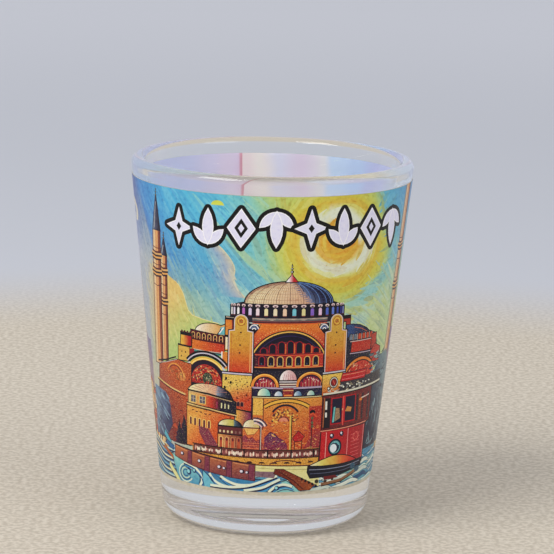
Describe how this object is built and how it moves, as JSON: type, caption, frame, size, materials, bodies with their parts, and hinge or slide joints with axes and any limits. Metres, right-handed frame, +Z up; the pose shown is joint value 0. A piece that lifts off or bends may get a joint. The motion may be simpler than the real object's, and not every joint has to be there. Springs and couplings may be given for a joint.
{
  "type": "shot glass",
  "caption": "Small tapered shot glass with a heavy clear base, a rounded lip and a full-wrap gloss picture on the outside; it stands on its flat foot and holds a measure of drink.",
  "frame": {"origin": "centre of the foot's flat ring, on the plane that the glass stands on", "axes": "+Z up along the glass's axis of turning, the middle of the picture faces -Y, +X is to the right of someone looking at the picture"},
  "size_m": [0.0464, 0.0464, 0.06],
  "materials": {
    "clear_glass": "clear, fire-polished",
    "white_base_coat": "warm white, satin",
    "picture_ink": "full-colour printed ink, gloss",
    "gloss_clear_coat": "clear gloss varnish"
  },
  "bodies": {
    "root": {"glass_body": "clear_glass", "white_undercoat": "white_base_coat", "picture_print": "picture_ink", "clear_overcoat": "gloss_clear_coat"}
  },
  "joints": []
}
